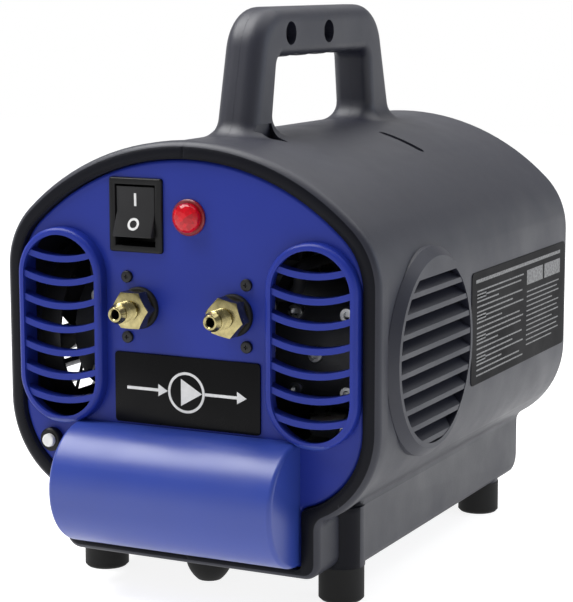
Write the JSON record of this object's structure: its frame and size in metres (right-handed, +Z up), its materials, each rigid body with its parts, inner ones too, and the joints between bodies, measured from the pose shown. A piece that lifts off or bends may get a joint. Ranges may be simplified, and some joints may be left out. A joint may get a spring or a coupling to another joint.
{
  "type": "portable refrigerant recovery machine",
  "caption": "Compact portable gas pump with a barrel housing and top grip, twin brass flare ports, rocker switch, lamp and side fans",
  "frame": {"origin": "centre of the footprint on the floor, under the middle of the bounding box", "axes": "X across the front with +X to the right as the operator faces it, Y from the front to the back, Z up; the ports point along -Y"},
  "size_m": [0.23, 0.3309, 0.312],
  "materials": {
    "charcoal": "moulded plastic with a fine sheen",
    "blue_panel": "glossy moulded plastic",
    "black_metal": "semi-matt powder coat",
    "label_dark": "printed plate, bare",
    "label_side": "printed vinyl, bare",
    "switch_black": "satin nylon",
    "lamp_bezel": "satin nylon",
    "red_lens": "moulded lens",
    "white_plastic": "satin nylon",
    "plated_steel": "zinc plated",
    "screw_steel": "black oxide",
    "brass": "machined",
    "rubber_black": "moulded",
    "foot_rubber": "moulded",
    "aluminium_block": "machined",
    "zinc_sheet": "zinc plated sheet",
    "motor_paint": "black enamel",
    "lamination": "stacked laminations",
    "copper": "drawn copper",
    "cast_alloy": "die cast",
    "fan_plastic": "moulded nylon",
    "fin_aluminium": "rolled fins",
    "capacitor_can": "drawn can"
  },
  "bodies": {
    "machine": {"housing_right": "charcoal", "housing_left": "charcoal", "front_panel": "blue_panel", "rear_panel": "black_metal", "nameplate": "label_dark", "side_label": "label_side", "switch_body": "switch_black", "switch_terminals": "plated_steel", "lamp_body": "lamp_bezel", "lamp_lens": "red_lens", "lamp_nut": "switch_black", "breaker_body": "switch_black", "breaker_nut": "plated_steel", "inlet_fitting": "brass", "outlet_fitting": "brass", "port_washers": "rubber_black", "manifold_block": "aluminium_block", "pan_screws": "screw_steel", "foot_front_left": "foot_rubber", "foot_front_right": "foot_rubber", "foot_rear_left": "foot_rubber", "foot_rear_right": "foot_rubber", "foot_screws": "plated_steel", "centre_bumper": "foot_rubber", "sheet_screws": "screw_steel", "power_inlet": "switch_black", "power_inlet_pins": "plated_steel", "power_inlet_screws": "plated_steel", "chassis_plate": "zinc_sheet", "motor_cradle": "zinc_sheet", "motor_isolators": "foot_rubber", "motor_shell": "motor_paint", "stator_core": "lamination", "stator_windings": "copper", "crankcase_left": "cast_alloy", "crankcase_right": "cast_alloy", "shaft_bearings": "plated_steel", "cylinder_left": "cast_alloy", "cylinder_right": "cast_alloy", "head_left": "cast_alloy", "head_right": "cast_alloy", "head_bolts": "plated_steel", "fan_shroud_left": "fan_plastic", "fan_shroud_right": "fan_plastic", "condenser_core": "fin_aluminium", "condenser_bends": "copper", "condenser_brackets": "zinc_sheet", "suction_line": "copper", "return_line": "copper", "crossover_line": "copper", "discharge_lines": "copper", "capacitor": "capacitor_can", "capacitor_clamp": "zinc_sheet", "pressure_switch": "brass"},
    "rocker": {"switch_rocker": "switch_black"},
    "button": {"breaker_button": "white_plastic"},
    "drive": {"drive_shaft": "plated_steel", "rotor_core": "lamination", "fan_left": "fan_plastic", "fan_right": "fan_plastic"}
  },
  "joints": [
    {"name": "rocker_tilt", "type": "hinge", "parent": "machine", "child": "rocker", "pos_m": [-0.0295, -0.1205, 0.2047], "axis": [1, 0, 0], "range_deg": [0, 20]},
    {"name": "breaker_push", "type": "slide", "parent": "machine", "child": "button", "axis": [0, 1, 0], "range_m": [0, 0.002]},
    {"name": "fan_spin", "type": "hinge", "parent": "machine", "child": "drive", "pos_m": [0, -0.0631, 0.1325], "axis": [1, 0, 0], "continuous": true}
  ]
}
